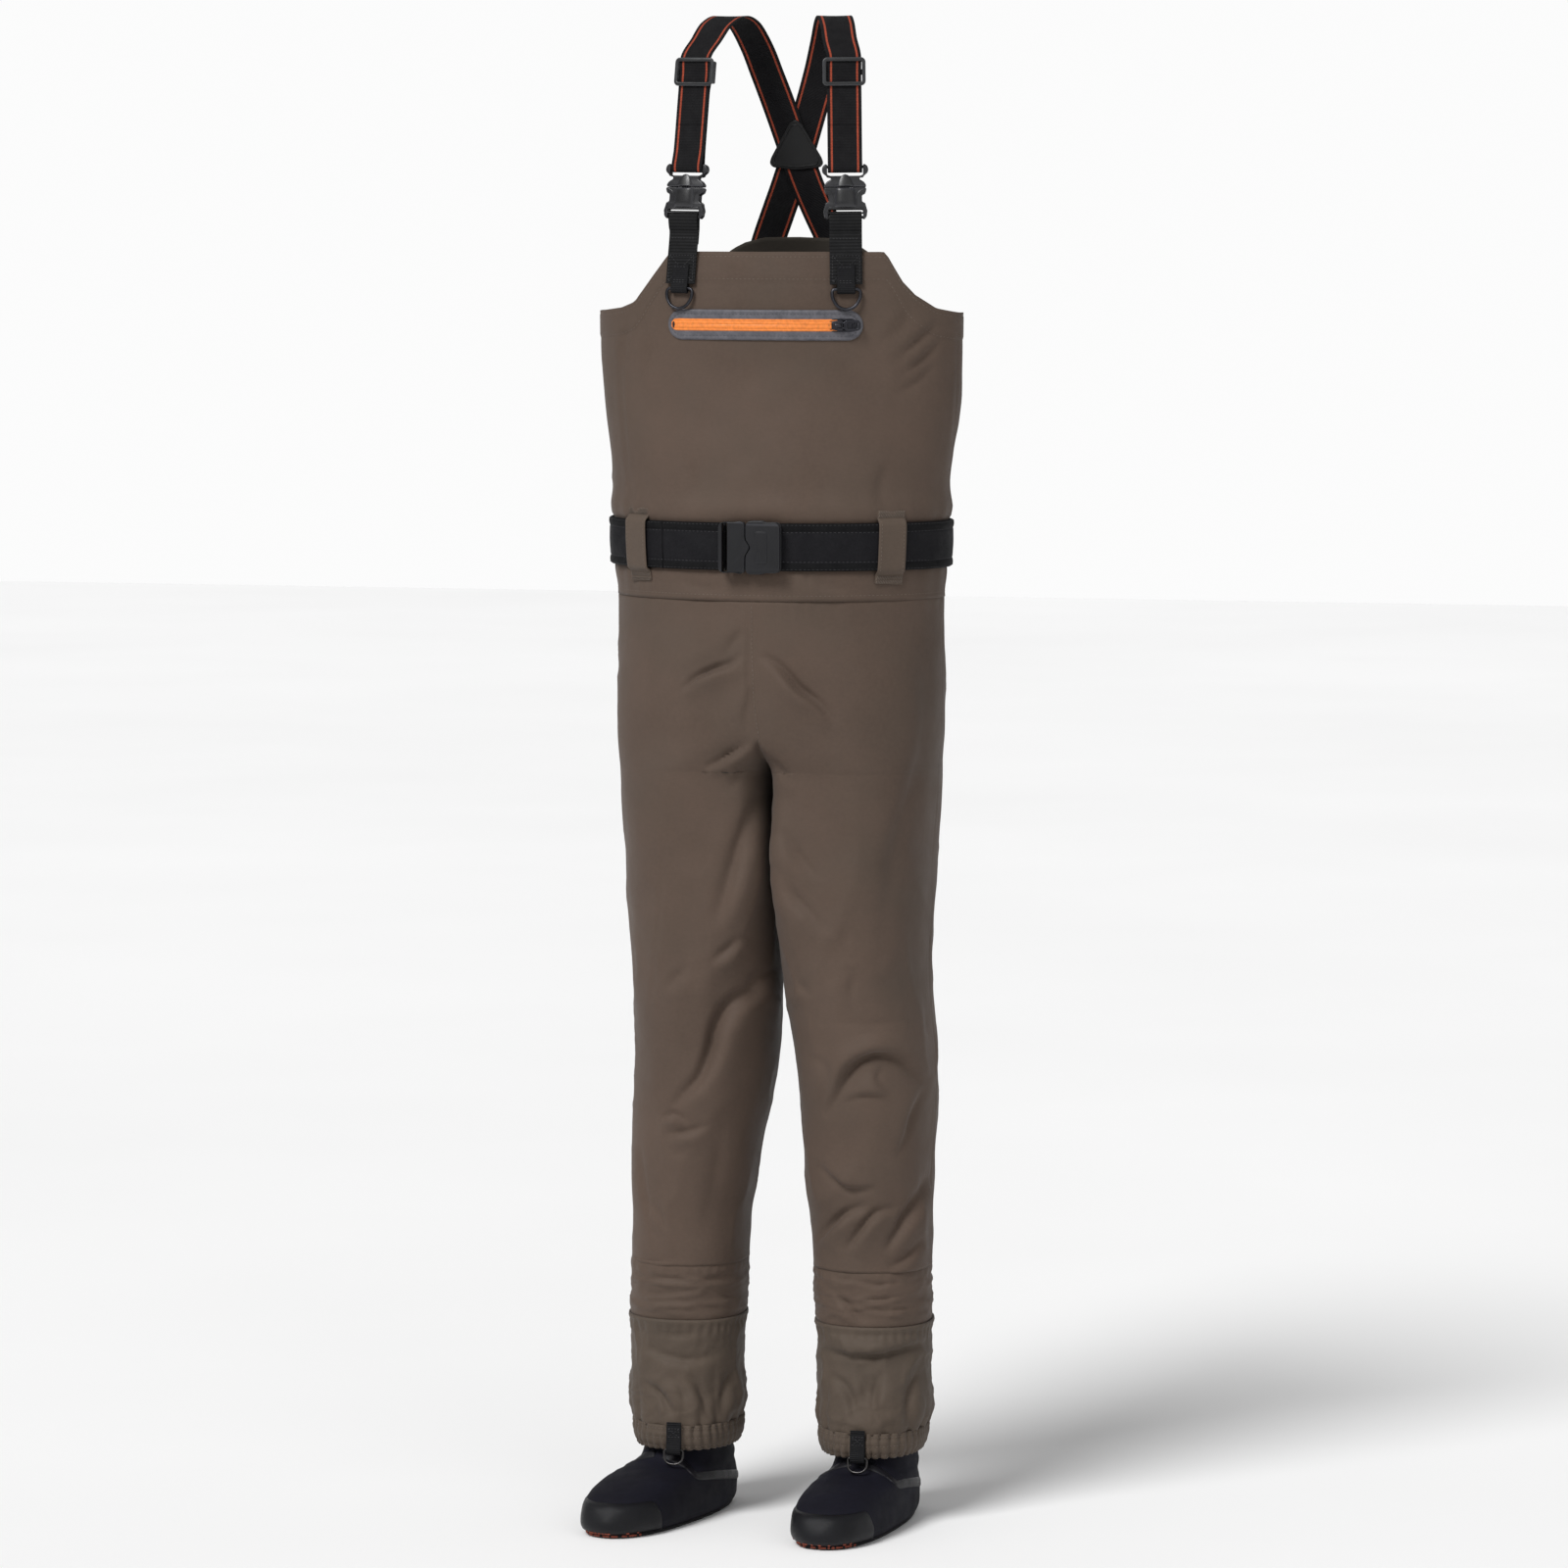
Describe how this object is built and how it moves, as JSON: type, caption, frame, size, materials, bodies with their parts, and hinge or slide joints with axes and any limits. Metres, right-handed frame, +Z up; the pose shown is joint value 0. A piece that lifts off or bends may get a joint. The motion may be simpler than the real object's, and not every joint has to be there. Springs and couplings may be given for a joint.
{
  "type": "chest waders",
  "caption": "Stocking-foot chest waders: woven bib and legs, webbing braces with clips and sliders, padded belt, zipped chest pocket, gravel guards and soft booties.",
  "frame": {"origin": "centre of the bounding box in plan, at the flat underside of the bootie soles", "axes": "+Z up, front of the bib faces -Y, +X is the wearer's left"},
  "size_m": [0.3918, 0.2967, 1.6027],
  "materials": {
    "shell": "matte woven taupe",
    "guard": "matte woven taupe",
    "belt": "matte padded webbing",
    "strap": "elastic webbing with two rust pinstripes",
    "webbing": "ribbed webbing",
    "patch": "matte",
    "pocket": "smooth laminated edge",
    "zip": "satin coil",
    "hook": "dark satin",
    "buckle": "moulded satin",
    "bootie": "matte neoprene knit",
    "rand": "matte printed reinforcement",
    "sole": "matte neoprene with rust grip print"
  },
  "bodies": {
    "garment": {"bib_front_panel": "shell", "bib_back_panel": "shell", "belt": "belt", "belt_front_end": "belt", "belt_buckle_female": "buckle", "cross_patch": "patch", "pocket_surround": "pocket", "zip_coil": "zip", "trouser_front_r": "shell", "trouser_back_r": "shell", "shin_band_r": "shell", "gravel_guard_r": "guard", "guard_hem_r": "guard", "bootie_r": "bootie", "bootie_sole_r": "sole", "toe_rand_r": "rand", "hook_tab_r": "webbing", "belt_loop_r": "shell", "brace_anchor_r": "webbing", "dring_tab_r": "webbing", "clip_female_r": "buckle", "brace_loop_r": "strap", "brace_return_r": "strap", "brace_strap_r": "strap", "trouser_front_l": "shell", "trouser_back_l": "shell", "shin_band_l": "shell", "gravel_guard_l": "guard", "guard_hem_l": "guard", "bootie_l": "bootie", "bootie_sole_l": "sole", "toe_rand_l": "rand", "hook_tab_l": "webbing", "belt_loop_l": "shell", "brace_anchor_l": "webbing", "dring_tab_l": "webbing", "clip_female_l": "buckle", "brace_loop_l": "strap", "brace_return_l": "strap", "brace_strap_l": "strap"},
    "belt_buckle_male": {"belt_buckle_male": "buckle"},
    "brace_slider_l": {"brace_slider_l": "buckle"},
    "brace_slider_r": {"brace_slider_r": "buckle"},
    "clip_male_l": {"clip_male_l": "buckle"},
    "clip_male_r": {"clip_male_r": "buckle"},
    "dring_l": {"dring_l": "buckle"},
    "dring_r": {"dring_r": "buckle"},
    "lace_hook_l": {"lace_hook_l": "hook"},
    "lace_hook_r": {"lace_hook_r": "hook"},
    "zip_pull": {"zip_pull": "hook"},
    "zip_slider": {"zip_slider": "hook"}
  },
  "joints": [
    {"name": "clip_release_r", "type": "slide", "parent": "garment", "child": "clip_male_r", "axis": [0.0434, 0.1447, 0.9885], "range_m": [0, 0.024], "deforming": ["brace_loop_r"]},
    {"name": "brace_adjust_r", "type": "slide", "parent": "garment", "child": "brace_slider_r", "axis": [0.0434, 0.1447, 0.9885], "range_m": [-0.03, 0], "deforming": ["brace_return_r"]},
    {"name": "dring_swing_r", "type": "hinge", "parent": "garment", "child": "dring_r", "pos_m": [-0.08943, -0.04614, 1.31772], "axis": [-0.9727, 0.2317, 0.0088], "range_deg": [0, 130]},
    {"name": "hook_swing_r", "type": "hinge", "parent": "garment", "child": "lace_hook_r", "pos_m": [-0.1005, -0.0366, 0.0788], "axis": [-1, 0, 0], "range_deg": [0, 70]},
    {"name": "clip_release_l", "type": "slide", "parent": "garment", "child": "clip_male_l", "axis": [-0.0434, 0.1447, 0.9885], "range_m": [0, 0.024], "deforming": ["brace_loop_l"]},
    {"name": "brace_adjust_l", "type": "slide", "parent": "garment", "child": "brace_slider_l", "axis": [-0.0434, 0.1447, 0.9885], "range_m": [-0.03, 0], "deforming": ["brace_return_l"]},
    {"name": "dring_swing_l", "type": "hinge", "parent": "garment", "child": "dring_l", "pos_m": [0.08943, -0.04614, 1.31772], "axis": [-0.9727, -0.2317, -0.0088], "range_deg": [0, 130]},
    {"name": "hook_swing_l", "type": "hinge", "parent": "garment", "child": "lace_hook_l", "pos_m": [0.1005, -0.0366, 0.0788], "axis": [-1, 0, 0], "range_deg": [0, 70]},
    {"name": "zip_travel", "type": "hinge", "parent": "garment", "child": "zip_slider", "pos_m": [0, 0.3308, 1.28], "axis": [0, 0, -1], "range_deg": [0, 24]},
    {"name": "zip_pull_swing", "type": "hinge", "parent": "zip_slider", "child": "zip_pull", "pos_m": [0.0823, -0.05374, 1.28], "axis": [0, 0, -1], "range_deg": [0, 170]},
    {"name": "belt_release", "type": "slide", "parent": "garment", "child": "belt_buckle_male", "axis": [-1, 0, 0], "range_m": [0, 0.026], "deforming": ["belt_front_end"]}
  ]
}
